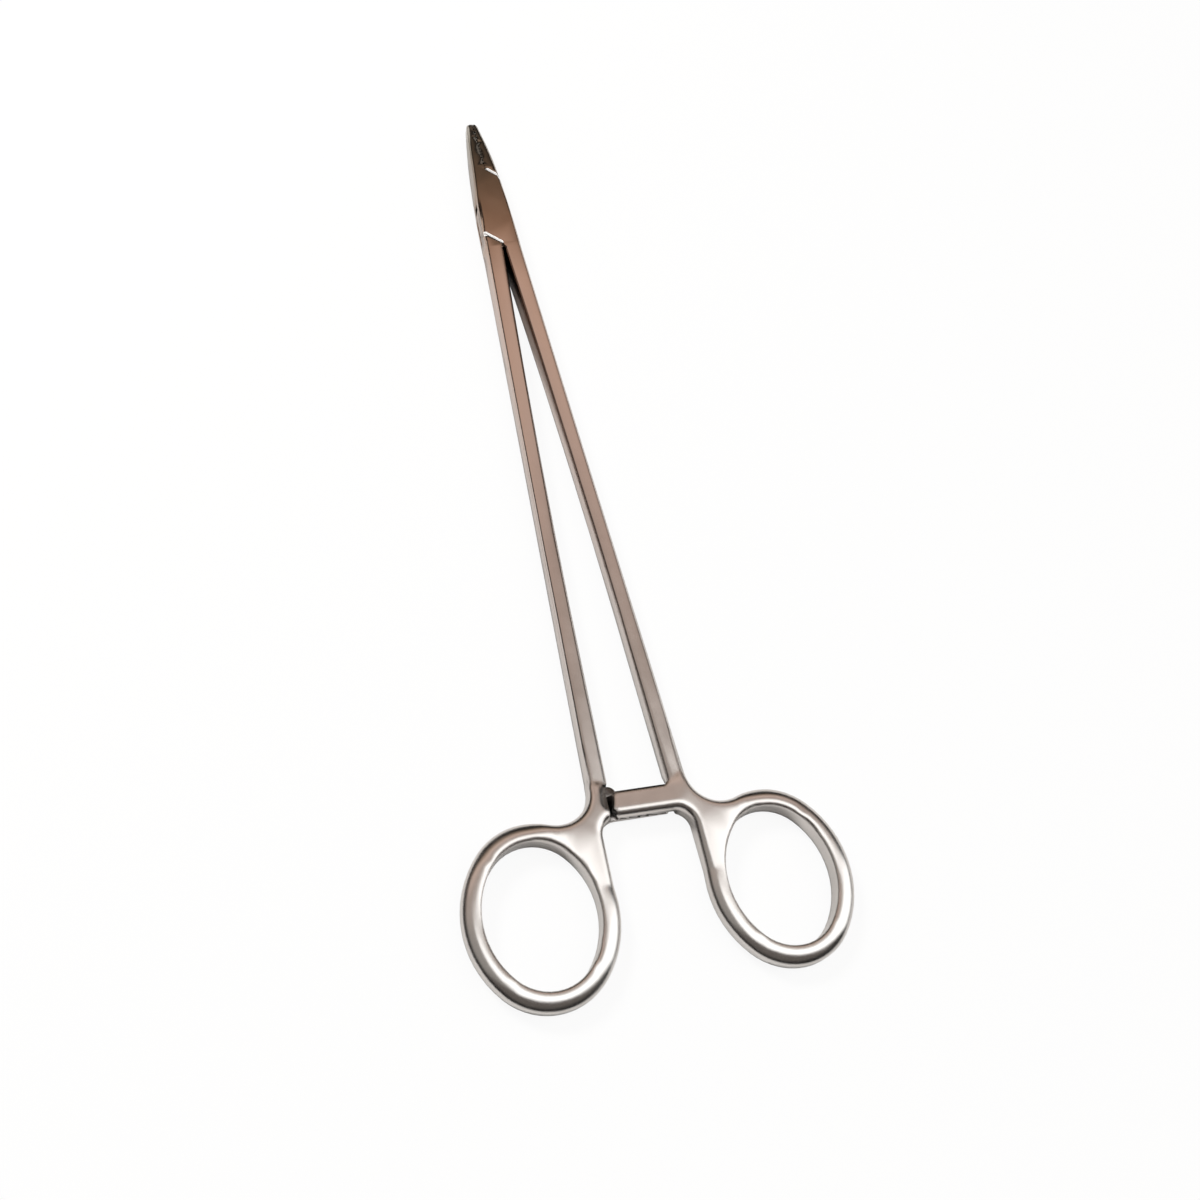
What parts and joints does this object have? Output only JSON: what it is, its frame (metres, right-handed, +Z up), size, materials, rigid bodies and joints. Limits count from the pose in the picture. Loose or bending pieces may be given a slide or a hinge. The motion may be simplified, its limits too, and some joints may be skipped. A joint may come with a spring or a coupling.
{
  "type": "surgical needle holder",
  "caption": "Slim ring-handled needle holder with tapered serrated jaws, a box lock turning on a flush rivet, and toothed ratchet bars between the finger rings.",
  "frame": {"origin": "centre of the underside of the closed instrument's bounding box, as it lies flat", "axes": "+Y from the finger rings to the jaw tips, +X to the instrument's right seen from above, +Z up along the pin"},
  "size_m": [0.0694, 0.2008, 0.0055],
  "materials": {
    "satin_steel": "satin-polished stainless steel",
    "pin_steel": "ground flush with the lock plates"
  },
  "bodies": {
    "female": {"female_half": "satin_steel", "hinge_pin": "pin_steel"},
    "male": {"male_half": "satin_steel"}
  },
  "joints": [
    {"name": "box_lock_hinge", "type": "hinge", "parent": "female", "child": "male", "pos_m": [0, 0.0731, 0.00275], "axis": [0, 0, -1], "range_deg": [0, 55]}
  ]
}
